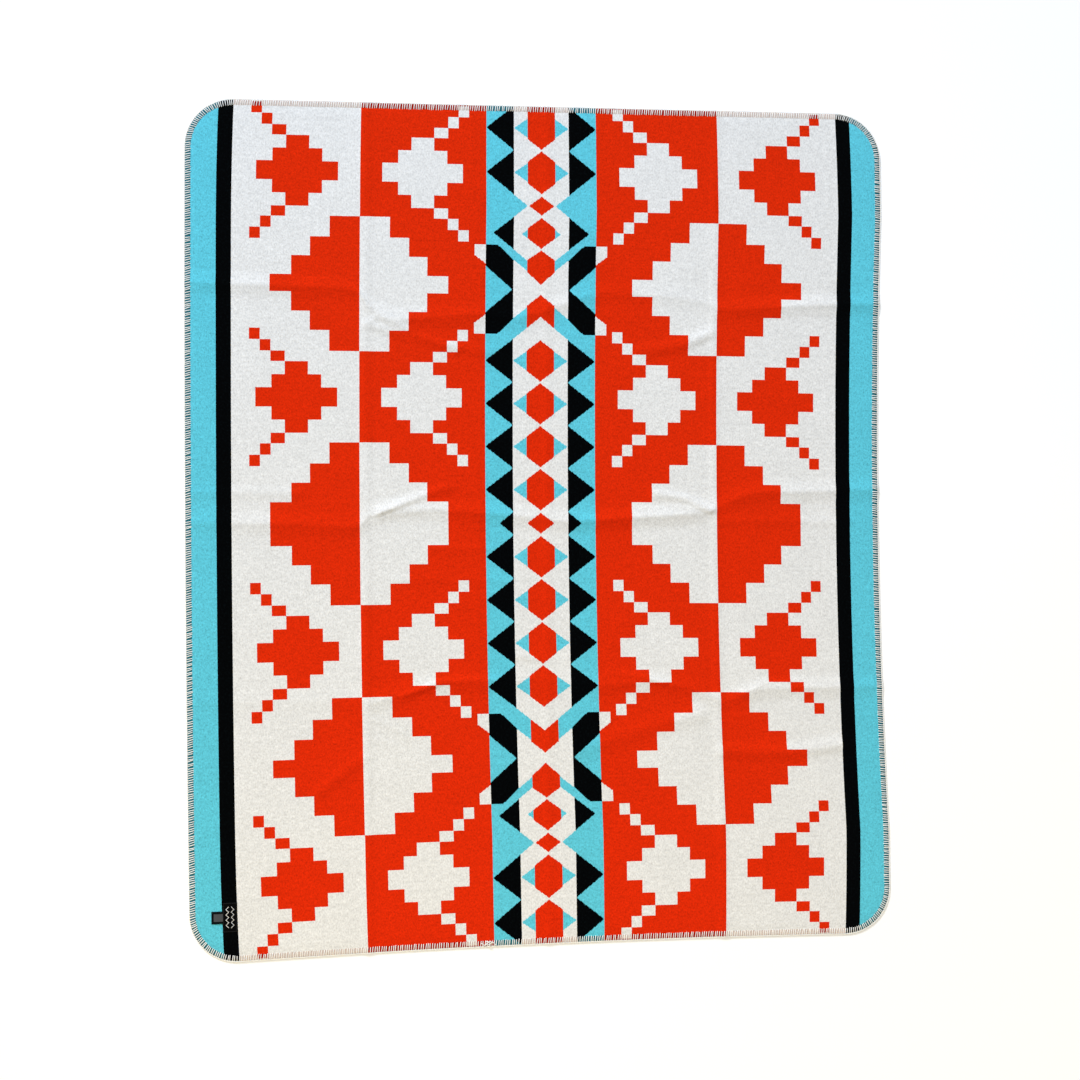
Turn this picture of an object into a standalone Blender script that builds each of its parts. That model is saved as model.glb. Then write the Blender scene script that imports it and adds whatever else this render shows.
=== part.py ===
"""Alpaca blanket: one woven sheet with rounded corners, laid flat, with the soft ridges of its old folds.

The cloth was stored folded in four each way, so long folds run up it and cross folds run over it. Each
lifts the sheet off the surface by a few millimetres, and between them the cloth lies flat. A stitched
edge runs round it, and a sewn label with a care tag under its side lies near the lower left corner.

Frame: metres, +Z up, +Y to the top of the pattern, +X to its right. The origin is on the surface,
under the middle of the blanket's box. The tables hold millimetres from the middle of the pattern.
"""
import math
from collections import namedtuple

import bmesh
import bpy
from mathutils import Vector
from mathutils.geometry import intersect_point_line

MM = 0.001

# Driving dimensions
WIDTH = 1.650
LENGTH = 1.980
CLOTH_THICKNESS = 0.0030
EDGE_CORD = 0.0028
GAP = 0.0003

# The cut edge of the cloth lies inside the stitched cord
HALF_WIDTH = WIDTH / 2 - EDGE_CORD - GAP
HALF_LENGTH = LENGTH / 2 - EDGE_CORD - GAP

# Sewn label and its care tag
LABEL_SIZE = (0.032, 0.068)
LABEL_CENTRE = (-0.728, -0.895)
LABEL_THICKNESS = 0.0006
TAG_WIDTH = 0.028
TAG_SHOWS = 0.026
TAG_TUCK = 0.006
TAG_LAYER = 0.0003
TAG_TOP = GAP + 2 * TAG_LAYER + GAP

# Mesh detail
NEAR_CROSS = (-95, -60, -35, -20, -9, 0, 9, 20, 35, 60, 95)
NEAR_LONG = (-24, -10, 0, 10, 24)
PANEL_ROWS = 3
PANEL_COLUMNS = 5
CUT_MARGIN = 0.030
ARC_STEPS = 10
SIDE_MARGIN = 0.012
CORD_RESOLUTION = 2

# How the sides leave a true rectangle, as seen in the photograph
LEFT_ENDS_IN = 0.005
RIGHT_OUT = 0.008
RIGHT_WAIST = 0.017
WAIST_REACH = 0.740
BOTTOM_RISE = 0.012
LOW_LEFT_DROP = 0.012
LOW_RIGHT_DROP = 0.003

# Rounded corners, counter-clockwise: the side of the middle each is on, and the angle where its arc starts
CORNER_RADIUS = 0.110
Corner = namedtuple("Corner", "side_x side_y start")
CORNERS = [Corner(1, -1, -90), Corner(1, 1, 0), Corner(-1, 1, 90), Corner(-1, -1, 180)]

# A fold's crest: where it is along the blanket, its place across, and how high it lifts the cloth
Crest = namedtuple("Crest", "along place height")
UPPER_FOLD = [
    Crest(-850, 563, 3.0),
    Crest(-582, 556, 3.5),
    Crest(-430, 546, 3.5),
    Crest(-402, 512, 2.5),
    Crest(-341, 482, 3.5),
    Crest(-237, 487, 3.0),
    Crest(-131, 495, 3.0),
    Crest(-61, 486, 2.5),
    Crest(22, 508, 3.0),
    Crest(142, 546, 2.0),
    Crest(286, 542, 2.0),
    Crest(400, 526, 1.5),
    Crest(436, 512, 3.5),
    Crest(628, 521, 4.0),
    Crest(850, 530, 3.0),
]
MIDDLE_FOLD = [
    Crest(-850, 11, 1.5),
    Crest(-586, 5, 3.0),
    Crest(-430, 0, 3.0),
    Crest(-402, 24, 2.5),
    Crest(-350, 36, 3.0),
    Crest(-241, 35, 3.5),
    Crest(-72, 22, 3.5),
    Crest(6, 12, 3.0),
    Crest(77, 7, 4.5),
    Crest(232, 15, 5.0),
    Crest(353, 22, 4.5),
    Crest(400, 27, 2.0),
    Crest(430, 42, 2.0),
    Crest(499, 68, 3.5),
    Crest(622, 73, 3.5),
    Crest(850, 79, 2.5),
]
LOWER_FOLD = [
    Crest(-850, -402, 0.8),
    Crest(-560, -404, 0.8),
    Crest(-430, -412, 1.0),
    Crest(-390, -408, 2.5),
    Crest(-300, -384, 3.0),
    Crest(-244, -372, 3.0),
    Crest(-128, -373, 2.5),
    Crest(0, -366, 1.0),
    Crest(132, -380, 2.5),
    Crest(252, -375, 3.0),
    Crest(348, -392, 3.0),
    Crest(400, -413, 2.5),
    Crest(436, -424, 2.5),
    Crest(518, -399, 3.5),
    Crest(690, -397, 3.0),
    Crest(850, -396, 2.0),
]
CROSS_FOLDS = [LOWER_FOLD, MIDDLE_FOLD, UPPER_FOLD]
LONG_FOLDS = [
    [Crest(-1050, -415, 1.5), Crest(0, -412, 1.5), Crest(1050, -404, 1.2)],
    [Crest(-1050, 5, 1.0), Crest(0, 10, 1.0), Crest(1050, 20, 1.0)],
    [Crest(-1050, 426, 1.2), Crest(0, 413, 1.5), Crest(1050, 427, 1.0)],
]
CROSS_HALF_WIDTH = 0.032
LONG_HALF_WIDTH = 0.018

# Short creases beside the folds, each along a path of points
Crease = namedtuple("Crease", "name height half_width path")
SHORT_CREASES = [
    Crease("upper_arc_left", 2.0, 20, [(-399, 465), (-330, 451), (-237, 421), (-120, 406)]),
    Crease("upper_arc_right", 3.0, 20, [(237, 410), (333, 427), (408, 454)]),
    Crease("middle_branch_left", 2.5, 18, [(-380, 32), (-310, 60), (-217, 86)]),
    Crease("middle_branch_right", 2.5, 18, [(269, 66), (353, 56), (404, 32)]),
    Crease("middle_far_left", 1.5, 20, [(-812, 78), (-563, 76)]),
    Crease("middle_low_right", 1.2, 18, [(430, 4), (745, 0)]),
    Crease("middle_low_left", 1.2, 14, [(-265, -54), (-113, -57)]),
    Crease("under_middle_left", 1.0, 16, [(-347, -127), (-78, -131)]),
    Crease("lower_nick", 1.5, 14, [(-68, -307), (2, -320)]),
    Crease("lower_slant_right", 2.5, 34, [(83, -533), (131, -517), (250, -483), (371, -455)]),
    Crease("lower_far_right", 3.5, 28, [(428, -544), (589, -550), (725, -534)]),
    Crease("lower_slant_left", 2.5, 24, [(-523, -614), (-430, -543)]),
]

# Colours in linear light, with roughness
Finish = namedtuple("Finish", "colour roughness")
FINISHES = {
    "blanket_cloth": Finish((0.70, 0.12, 0.05), 0.95),
    "edge_stitch": Finish((0.78, 0.76, 0.70), 0.85),
    "sewn_label": Finish((0.010, 0.010, 0.012), 0.60),
    "care_tag": Finish((0.035, 0.037, 0.042), 0.50),
}


def along(table, place, column):
    """Read a table's column, in metres, on one smooth curve through its rows."""
    place = min(max(place / MM, table[0].along), table[-1].along)
    i = max(n for n in range(len(table) - 1) if table[n].along <= place)

    def slope(n):
        low, high = table[max(n - 1, 0)], table[min(n + 1, len(table) - 1)]
        return (getattr(high, column) - getattr(low, column)) / (high.along - low.along)

    a, b = table[i], table[i + 1]
    span = b.along - a.along
    t = (place - a.along) / span
    value = (2 * t**3 - 3 * t**2 + 1) * getattr(a, column)
    value += (3 * t**2 - 2 * t**3) * getattr(b, column)
    value += (t**3 - 2 * t**2 + t) * span * slope(i)
    value += (t**3 - t**2) * span * slope(i + 1)
    return value * MM


def ridge(distance, half_width):
    """Height of a soft ridge, from 1 on its crest to 0 at its half width."""
    t = min(abs(distance) / half_width, 1.0)
    return (1 - t * t) ** 2


def distance_to_path(x, y, path):
    """Shortest distance from a point to a path of straight runs, all in metres."""
    point = Vector((x, y))
    nearest = math.inf
    for start, end in zip(path, path[1:]):
        a, b = Vector(start) * MM, Vector(end) * MM
        foot, share = intersect_point_line(point, a, b)
        foot = a.lerp(b, min(max(share, 0.0), 1.0))
        nearest = min(nearest, (point - foot.xy).length)
    return nearest


def lift(x, y):
    """How far the folds and creases hold the cloth's underside off the surface."""
    rise = 0.0
    for fold in CROSS_FOLDS:
        rise += along(fold, x, "height") * ridge(y - along(fold, x, "place"), CROSS_HALF_WIDTH)
    for fold in LONG_FOLDS:
        rise += along(fold, y, "height") * ridge(x - along(fold, y, "place"), LONG_HALF_WIDTH)
    for crease in SHORT_CREASES:
        away = distance_to_path(x, y, crease.path)
        rise += crease.height * MM * ridge(away, crease.half_width * MM)
    return rise


def grid_lines(folds, near, between, reach, at):
    """Places of the grid's lines: close beside each fold's crest, and a few across each panel."""
    groups = [[-reach]]
    for fold in folds:
        crest = along(fold, at, "place")
        groups.append([crest + offset * MM for offset in near])
    groups.append([reach])
    places = []
    for group, following in zip(groups, groups[1:]):
        places += group
        start, end = group[-1], following[0]
        places += [start + (end - start) * n / (between + 1) for n in range(1, between + 1)]
    return places + groups[-1]


def rows_at(x):
    return grid_lines(CROSS_FOLDS, NEAR_CROSS, PANEL_ROWS, HALF_LENGTH + CUT_MARGIN, x)


def columns_at(y):
    return grid_lines(LONG_FOLDS, NEAR_LONG, PANEL_COLUMNS, HALF_WIDTH + CUT_MARGIN, y)


def bow(distance, reach):
    """Share of a side's bow, from 1 at its middle to 0 at its reach."""
    return max(1 - (distance / reach) ** 2, 0.0)


def drifted(x, y):
    """Move a point of the true rectangle to its place on the real, slightly uneven blanket."""
    share_x = (x + HALF_WIDTH) / (2 * HALF_WIDTH)
    share_y = (y + HALF_LENGTH) / (2 * HALF_LENGTH)
    left = LEFT_ENDS_IN * (1 - bow(y, HALF_LENGTH))
    right = RIGHT_OUT - RIGHT_WAIST * bow(y, WAIST_REACH)
    drop = LOW_LEFT_DROP + (LOW_RIGHT_DROP - LOW_LEFT_DROP) * share_x
    bottom = BOTTOM_RISE * bow(x, HALF_WIDTH) - drop
    return x + left + (right - left) * share_x, y + bottom * (1 - share_y)


def outline(outside):
    """Points round the blanket, counter-clockwise, at a distance outside the cloth's cut edge."""
    points = []
    for corner, following in zip(CORNERS, CORNERS[1:] + CORNERS[:1]):
        centre_x = corner.side_x * (HALF_WIDTH - CORNER_RADIUS)
        centre_y = corner.side_y * (HALF_LENGTH - CORNER_RADIUS)
        for step in range(ARC_STEPS + 1):
            angle = math.radians(corner.start + 90 * step / ARC_STEPS)
            reach = CORNER_RADIUS + outside
            points.append((centre_x + reach * math.cos(angle), centre_y + reach * math.sin(angle)))
        if corner.side_x == following.side_x:
            side = corner.side_x * (HALF_WIDTH + outside)
            start, end = centre_y, following.side_y * (HALF_LENGTH - CORNER_RADIUS)
            places = [(side, y) for y in rows_at(side) if inside(y, start, end)]
        else:
            side = corner.side_y * (HALF_LENGTH + outside)
            start, end = centre_x, following.side_x * (HALF_WIDTH - CORNER_RADIUS)
            places = [(x, side) for x in columns_at(side) if inside(x, start, end)]
        points += places if end > start else places[::-1]
    return [drifted(x, y) for x, y in points]


def inside(place, start, end):
    """Whether a place lies on the straight run between two corners, clear of their arcs."""
    return min(start, end) + SIDE_MARGIN < place < max(start, end) - SIDE_MARGIN


def box_middle():
    """Middle of the box round the stitched edge, which becomes the origin."""
    xs, ys = zip(*outline(GAP + EDGE_CORD))
    return (min(xs) + max(xs)) / 2, (min(ys) + max(ys)) / 2


def new_collection(name):
    collection = bpy.data.collections.new(name)
    bpy.context.scene.collection.children.link(collection)
    return collection


def add_object(name, data, collection, frame):
    obj = bpy.data.objects.new(name, data)
    collection.objects.link(obj)
    obj.parent = frame
    return obj


def finish(obj):
    """Give an object its own plain material."""
    look = FINISHES[obj.name]
    material = bpy.data.materials.new(obj.name)
    material.use_nodes = True
    shader = material.node_tree.nodes["Principled BSDF"]
    shader.inputs["Base Color"].default_value = (*look.colour, 1.0)
    shader.inputs["Roughness"].default_value = look.roughness
    shader.inputs["Metallic"].default_value = 0.0
    obj.data.materials.append(material)


def grid_mesh(name, columns, rows, place):
    """A grid whose point in a column and row is put where the place function says."""
    bm = bmesh.new()
    bmesh.ops.create_grid(bm, x_segments=columns - 1, y_segments=rows - 1, size=0.5)
    for vert in bm.verts:
        column = round((vert.co.x + 0.5) * (columns - 1))
        row = round((vert.co.y + 0.5) * (rows - 1))
        vert.co = place(column, row)
    mesh = bpy.data.meshes.new(name)
    bm.to_mesh(mesh)
    bm.free()
    return mesh


def thicken(obj, thickness):
    solid = obj.modifiers.new("thickness", "SOLIDIFY")
    solid.thickness = thickness
    solid.offset = 1.0
    solid.use_even_offset = True


def outline_cutter(collection, frame):
    """A tall prism of the cloth's cut edge, made from a filled curve."""
    curve = bpy.data.curves.new("cut_edge", "CURVE")
    curve.dimensions = "2D"
    curve.fill_mode = "BOTH"
    curve.extrude = 0.030
    points = outline(0.0)
    spline = curve.splines.new("POLY")
    spline.points.add(len(points) - 1)
    for point, (x, y) in zip(spline.points, points):
        point.co = (x, y, 0.0, 1.0)
    spline.use_cyclic_u = True
    drawn = add_object("cut_edge_curve", curve, collection, frame)
    depsgraph = bpy.context.evaluated_depsgraph_get()
    mesh = bpy.data.meshes.new_from_object(drawn.evaluated_get(depsgraph))
    bpy.data.objects.remove(drawn)
    bm = bmesh.new()
    bm.from_mesh(mesh)
    bmesh.ops.remove_doubles(bm, verts=bm.verts, dist=0.00001)
    bmesh.ops.recalc_face_normals(bm, faces=bm.faces)
    bm.to_mesh(mesh)
    bm.free()
    cutter = add_object("cut_edge", mesh, collection, frame)
    cutter.display_type = "WIRE"
    cutter.hide_render = True
    return cutter


def blanket_cloth(collection, cutters, frame):
    """The woven sheet: a grid that follows the folds, thickened and cut to the outline."""
    middle_rows = rows_at(0.0)

    def place(column, row):
        x = columns_at(middle_rows[row])[column]
        y = rows_at(x)[row]
        return x, y, lift(x, y)

    mesh = grid_mesh("blanket_cloth", len(columns_at(0.0)), len(middle_rows), place)
    cloth = add_object("blanket_cloth", mesh, collection, frame)
    thicken(cloth, CLOTH_THICKNESS)
    cut = cloth.modifiers.new("outline", "BOOLEAN")
    cut.operation = "INTERSECT"
    cut.object = outline_cutter(cutters, frame)
    cut.solver = "EXACT"
    finish(cloth)


def edge_stitch(collection, frame):
    """The stitched edge's outer cord, which follows the cloth's edge over each fold."""
    curve = bpy.data.curves.new("edge_stitch", "CURVE")
    curve.dimensions = "3D"
    curve.bevel_depth = EDGE_CORD / 2
    curve.bevel_resolution = CORD_RESOLUTION
    points = outline(GAP + EDGE_CORD / 2)
    spline = curve.splines.new("POLY")
    spline.points.add(len(points) - 1)
    for point, (x, y) in zip(spline.points, points):
        point.co = (x, y, lift(x, y) + CLOTH_THICKNESS / 2, 1.0)
    spline.use_cyclic_u = True
    finish(add_object("edge_stitch", curve, collection, frame))


def sewn_label(collection, frame):
    """The label: a small patch on the cloth, raised a little where the care tag goes under it."""
    width, length = LABEL_SIZE
    tuck, half_tag = TAG_TUCK / MM, TAG_WIDTH / MM / 2
    left, half = -width / 2, length / 2
    xs = [left + offset * MM for offset in (0, tuck, tuck + 1.5, tuck + 3, tuck + 4.5, tuck + 6)]
    xs += [left + width * share for share in (0.6, 0.8, 1.0)]
    ys = [offset * MM for offset in (half_tag + 6, half_tag + 4.5, half_tag + 3, half_tag + 1.5, 6)]
    ys = [-half] + [-y for y in ys] + ys[::-1] + [half]

    def raised(x, y):
        beyond_x = max(x - (left + TAG_TUCK + 0.001), 0.0)
        beyond_y = max(abs(y) - (TAG_WIDTH / 2 + 0.001), 0.0)
        share = min(math.hypot(beyond_x, beyond_y) / 0.005, 1.0)
        return TAG_TOP * (1 - share * share * (3 - 2 * share))

    def place(column, row):
        x, y = xs[column], ys[row]
        return x, y, raised(x, y)

    label = add_object("sewn_label", grid_mesh("sewn_label", len(xs), len(ys), place), collection, frame)
    label.location = (*LABEL_CENTRE, CLOTH_THICKNESS + GAP)
    thicken(label, LABEL_THICKNESS)
    finish(label)


def care_tag(collection, frame):
    """The care tag: a narrow strip folded back on itself, with its ends under the label's side."""
    length = TAG_SHOWS + TAG_TUCK
    layer, space = TAG_LAYER, GAP
    height = 2 * layer + space
    bend = height / 2
    section = [(length, 0.0), (length, layer), (bend, layer), (bend, layer + space)]
    section += [(length, layer + space), (length, height), (bend, height)]
    section += [(bend - bend * math.sin(math.radians(a)), bend + bend * math.cos(math.radians(a)))
                for a in (30, 60, 90, 120, 150)]
    section += [(bend, 0.0)]
    curve = bpy.data.curves.new("care_tag", "CURVE")
    curve.dimensions = "2D"
    curve.fill_mode = "BOTH"
    curve.extrude = TAG_WIDTH / 2
    spline = curve.splines.new("POLY")
    spline.points.add(len(section) - 1)
    for point, (x, z) in zip(spline.points, section):
        point.co = (x, z, 0.0, 1.0)
    spline.use_cyclic_u = True
    tag = add_object("care_tag", curve, collection, frame)
    tag.rotation_euler = (math.radians(90), 0.0, 0.0)
    left = LABEL_CENTRE[0] - LABEL_SIZE[0] / 2 - TAG_SHOWS
    tag.location = (left, LABEL_CENTRE[1], CLOTH_THICKNESS + GAP)
    finish(tag)


def main():
    for obj in list(bpy.data.objects):
        bpy.data.objects.remove(obj)
    parts = new_collection("alpaca_blanket")
    cutters = new_collection("cutters")
    frame = bpy.data.objects.new("pattern_middle", None)
    parts.objects.link(frame)
    middle_x, middle_y = box_middle()
    frame.location = (-middle_x, -middle_y, 0.0)
    blanket_cloth(parts, cutters, frame)
    edge_stitch(parts, frame)
    sewn_label(parts, frame)
    care_tag(parts, frame)


main()
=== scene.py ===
"""Looks of the alpaca blanket: a brushed double weave with its chart, stitched edge, sewn label and care tag.

Metres, +Z up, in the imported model's frame. The tables of folds, creases, legs and chain hold millimetres. The
chart is counted in woven cells and rows on the flat blanket, and place() takes a point of the flat blanket to
where it lies.
"""
import math
import random
from collections import namedtuple

import bpy
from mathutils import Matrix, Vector, noise
from mathutils.geometry import intersect_point_line


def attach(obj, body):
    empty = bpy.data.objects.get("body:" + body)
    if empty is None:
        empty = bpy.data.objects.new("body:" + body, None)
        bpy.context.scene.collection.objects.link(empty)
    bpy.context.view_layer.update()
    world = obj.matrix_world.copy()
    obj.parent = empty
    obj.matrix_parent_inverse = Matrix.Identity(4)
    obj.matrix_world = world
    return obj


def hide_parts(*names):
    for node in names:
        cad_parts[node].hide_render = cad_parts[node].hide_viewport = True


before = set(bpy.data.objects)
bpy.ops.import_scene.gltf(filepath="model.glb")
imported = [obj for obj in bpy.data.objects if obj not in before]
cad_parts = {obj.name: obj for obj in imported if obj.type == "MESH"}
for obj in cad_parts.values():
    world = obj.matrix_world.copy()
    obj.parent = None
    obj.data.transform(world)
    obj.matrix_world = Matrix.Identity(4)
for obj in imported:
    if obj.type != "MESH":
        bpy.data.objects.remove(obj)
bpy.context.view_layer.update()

MM = 0.001

# Driving dimensions, as in the part's source
WIDTH = 1.650
LENGTH = 1.980
CLOTH_THICKNESS = 0.0030
EDGE_CORD = 0.0028
GAP = 0.0003
HALF_WIDTH = WIDTH / 2 - EDGE_CORD - GAP
HALF_LENGTH = LENGTH / 2 - EDGE_CORD - GAP

# Sewn label and its care tag
LABEL_SIZE = (0.032, 0.068)
LABEL_CENTRE = (-0.728, -0.895)
TAG_WIDTH = 0.028
TAG_SHOWS = 0.026
TAG_TUCK = 0.006

# How the sides leave a true rectangle, as seen in the photograph
LEFT_ENDS_IN = 0.005
RIGHT_OUT = 0.008
RIGHT_WAIST = 0.017
WAIST_REACH = 0.740
BOTTOM_RISE = 0.012
LOW_LEFT_DROP = 0.012
LOW_RIGHT_DROP = 0.003

# How far the woven rows run down to the right in the middle of the blanket, for each metre across
ROWS_LEAN = 0.012

# How much the woven columns draw in at the blanket's ends, as a share of their place across, and the length
# of each end in which they do
COLUMNS_IN = 0.008
COLUMNS_IN_REACH = 0.300

# Rounded corners, counter-clockwise: the side of the middle each is on, and the angle where its arc starts
CORNER_RADIUS = 0.110
Corner = namedtuple("Corner", "side_x side_y start")
CORNERS = [Corner(1, -1, -90), Corner(1, 1, 0), Corner(-1, 1, 90), Corner(-1, -1, 180)]

# A run of the cut edge: a corner's arc, whose start is its centre, or a straight run that has an end
Run = namedtuple("Run", "length start angle end")

# A fold's crest: where it is along the blanket, its place across, and how high it lifts the cloth
Crest = namedtuple("Crest", "along place height")
UPPER_FOLD = [
    Crest(-850, 563, 3.0),
    Crest(-582, 556, 3.5),
    Crest(-430, 546, 3.5),
    Crest(-402, 512, 2.5),
    Crest(-341, 482, 3.5),
    Crest(-237, 487, 3.0),
    Crest(-131, 495, 3.0),
    Crest(-61, 486, 2.5),
    Crest(22, 508, 3.0),
    Crest(142, 546, 2.0),
    Crest(286, 542, 2.0),
    Crest(400, 526, 1.5),
    Crest(436, 512, 3.5),
    Crest(628, 521, 4.0),
    Crest(850, 530, 3.0),
]
MIDDLE_FOLD = [
    Crest(-850, 11, 1.5),
    Crest(-586, 5, 3.0),
    Crest(-430, 0, 3.0),
    Crest(-402, 24, 2.5),
    Crest(-350, 36, 3.0),
    Crest(-241, 35, 3.5),
    Crest(-72, 22, 3.5),
    Crest(6, 12, 3.0),
    Crest(77, 7, 4.5),
    Crest(232, 15, 5.0),
    Crest(353, 22, 4.5),
    Crest(400, 27, 2.0),
    Crest(430, 42, 2.0),
    Crest(499, 68, 3.5),
    Crest(622, 73, 3.5),
    Crest(850, 79, 2.5),
]
LOWER_FOLD = [
    Crest(-850, -402, 0.8),
    Crest(-560, -404, 0.8),
    Crest(-430, -412, 1.0),
    Crest(-390, -408, 2.5),
    Crest(-300, -384, 3.0),
    Crest(-244, -372, 3.0),
    Crest(-128, -373, 2.5),
    Crest(0, -366, 1.0),
    Crest(132, -380, 2.5),
    Crest(252, -375, 3.0),
    Crest(348, -392, 3.0),
    Crest(400, -413, 2.5),
    Crest(436, -424, 2.5),
    Crest(518, -399, 3.5),
    Crest(690, -397, 3.0),
    Crest(850, -396, 2.0),
]
CROSS_FOLDS = [LOWER_FOLD, MIDDLE_FOLD, UPPER_FOLD]
LONG_FOLDS = [
    [Crest(-1050, -415, 1.5), Crest(0, -412, 1.5), Crest(1050, -404, 1.2)],
    [Crest(-1050, 5, 1.0), Crest(0, 10, 1.0), Crest(1050, 20, 1.0)],
    [Crest(-1050, 426, 1.2), Crest(0, 413, 1.5), Crest(1050, 427, 1.0)],
]
CROSS_HALF_WIDTH = 0.032
LONG_HALF_WIDTH = 0.018

# Short creases beside the folds, each along a path of points
Crease = namedtuple("Crease", "name height half_width path")
SHORT_CREASES = [
    Crease("upper_arc_left", 2.0, 20, [(-399, 465), (-330, 451), (-237, 421), (-120, 406)]),
    Crease("upper_arc_right", 3.0, 20, [(237, 410), (333, 427), (408, 454)]),
    Crease("middle_branch_left", 2.5, 18, [(-380, 32), (-310, 60), (-217, 86)]),
    Crease("middle_branch_right", 2.5, 18, [(269, 66), (353, 56), (404, 32)]),
    Crease("middle_far_left", 1.5, 20, [(-812, 78), (-563, 76)]),
    Crease("middle_low_right", 1.2, 18, [(430, 4), (745, 0)]),
    Crease("middle_low_left", 1.2, 14, [(-265, -54), (-113, -57)]),
    Crease("under_middle_left", 1.0, 16, [(-347, -127), (-78, -131)]),
    Crease("lower_nick", 1.5, 14, [(-68, -307), (2, -320)]),
    Crease("lower_slant_right", 2.5, 34, [(83, -533), (131, -517), (250, -483), (371, -455)]),
    Crease("lower_far_right", 3.5, 28, [(428, -544), (589, -550), (725, -534)]),
    Crease("lower_slant_left", 2.5, 24, [(-523, -614), (-430, -543)]),
]

# Fine creases that show only as narrow lines
FINE_CREASES = [
    Crease("arc_line_left", 1.6, 12, [(-412, 468), (-382, 487), (-341, 471), (-255, 432), (-190, 412)]),
    Crease("arc_line_left_low", 0.7, 8, [(-395, 470), (-350, 446), (-300, 432)]),
    Crease("arc_line_right", 1.4, 12, [(255, 402), (330, 415), (390, 440)]),
    Crease("branch_line_left", 1.3, 8, [(-392, 22), (-340, 44), (-285, 66), (-225, 92)]),
    Crease("branch_line_left_low", 0.9, 8, [(-395, 8), (-350, 26), (-290, 30)]),
    Crease("branch_line_right", 1.6, 10, [(262, 74), (330, 63), (400, 28)]),
    Crease("branch_line_right_low", 0.7, 8, [(300, 44), (350, 36), (405, 30)]),
    Crease("under_arc_left", 0.8, 9, [(-400, -452), (-352, -470), (-318, -498)]),
    Crease("under_arc_left_low", 0.6, 9, [(-392, -498), (-350, -512)]),
    Crease("lower_line_left", 1.8, 11, [(-330, -398), (-240, -366), (-190, -363), (-100, -362)]),
    Crease("lower_line_right", 1.5, 11, [(150, -352), (230, -362), (285, -380)]),
    Crease("lower_line_far_right", 0.9, 9, [(470, -408), (530, -384), (600, -380)]),
]

# How many points of the edge tell its box
BOX_STEPS = 4000

# How narrow the folds' crests are, and the share of their height that is in the crest
CREST_HALF_WIDTH = 0.011
CREST_SHARE = 0.24

# The cloth's grid: steps in each corner's arc, places beside a fold's crest, lines between the folds, and how
# many steps of the upper face make one of the underside
ARC_STEPS = 12
BESIDE_CROSS = (3, 6.5, 10, 14, 19, 25, 32, 39, 46, 53, 60, 67, 74, 81, 88, 95)
NEAR_CROSS = [-step for step in reversed(BESIDE_CROSS)] + [0] + list(BESIDE_CROSS)
NEAR_LONG = range(-20, 21, 4)
ROWS_BETWEEN = (48, 28, 36, 34)
COLUMNS_BETWEEN = (63, 63, 62, 63)
OUTER_PANEL = 0.600
COARSE = 3

# How the overlock thread holds the rim of the cloth, and the slight swell of the cloth inside it
RIM = 0.0130
RIM_PINCH = 0.0006
RIM_EASE = 0.0060
UNEVEN_HEIGHT = 0.0003
UNEVEN_LENGTH = 0.070

# Overlock stitches round the edge. The jitter is a share of the pitch, and the leans are shares of a leg's
# reach, with their own on the left side.
SEED = 7
STITCH_PITCH = 0.0053
STITCH_JITTER = 0.16
THREAD_HALF_WIDTH = 0.00095
THREAD_HALF_HEIGHT = 0.00060
THREAD_SIDES = 6
LEAN = 0.10
LEAN_SPREAD = 0.05
LEFT_LEAN = -0.22
LOWER_LEAN = 0.5
LEG_REACH = (0.90, 1.06)
LEG_FATNESS = (0.88, 1.10)

# A leg's line from its end under the cloth, round the cut edge, to its end on top: how far out from the edge
# and up, and its share of the thread's width
LegPoint = namedtuple("LegPoint", "out up width")
LEG = [
    LegPoint(-12.2, 1.40, 0.60),
    LegPoint(-11.4, 0.85, 0.95),
    LegPoint(-6.0, 0.80, 1.00),
    LegPoint(-0.6, 0.85, 1.00),
    LegPoint(1.5, 1.55, 1.00),
    LegPoint(-0.6, 2.45, 1.00),
    LegPoint(-6.0, 2.65, 1.05),
    LegPoint(-11.6, 2.75, 1.00),
    LegPoint(-13.0, 1.70, 0.60),
]
EDGE_MIDDLE = 1.5

# The chain from one leg to the next: the share of the way, how far out it runs and its half width
ChainPoint = namedtuple("ChainPoint", "share out half_width")
CHAIN = [
    ChainPoint(0.00, 1.90, 1.25),
    ChainPoint(0.25, 1.70, 1.05),
    ChainPoint(0.50, 1.45, 0.85),
    ChainPoint(0.75, 1.65, 1.00),
]
CHAIN_SWAY = 0.15
CHAIN_FLATNESS = 0.95

# Label and tag: where the label rises over the tag, its grid and thin edge, and the tag's layers and grid
LABEL_THICKNESS = 0.0006
LABEL_RISE_EASE = 0.005
LABEL_GRID = (33, 69)
LABEL_EDGE = 0.45
TAG_CLEAR = 0.001
TAG_LAYER = 0.0003
TAG_TOP = GAP + 2 * TAG_LAYER + GAP
TAG_EDGE = 0.0054
TAG_PUFF = 0.0006
TAG_STEPS = 16
TAG_STEPS_ACROSS = 12
TAG_BEND_TURN = 30

# The zigzags woven into the label
LABEL_CELL = 0.0005
ZIGZAG_MIDDLE = -0.0004
ZIGZAG_APART = 0.0118
ZIGZAG_SWING = 0.0060
ZIGZAG_LINE = 0.0018
ZIGZAG_END = 0.0245

# The stitches that hold the label: each runs along a few steps, with its crown and fall in thread radii
LABEL_STITCH = 0.0024
LABEL_STITCH_IN = 0.0016
LABEL_STITCH_STEPS = (-2, -1, 0, 1, 2)
LABEL_STITCH_STEP = 0.19
LABEL_STITCH_CROWN = 0.35
LABEL_STITCH_FALL = 0.20
LABEL_THREAD_RADIUS = 0.00045
LABEL_THREAD_FLATNESS = 0.8
LABEL_THREAD_SIDES = 5

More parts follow.
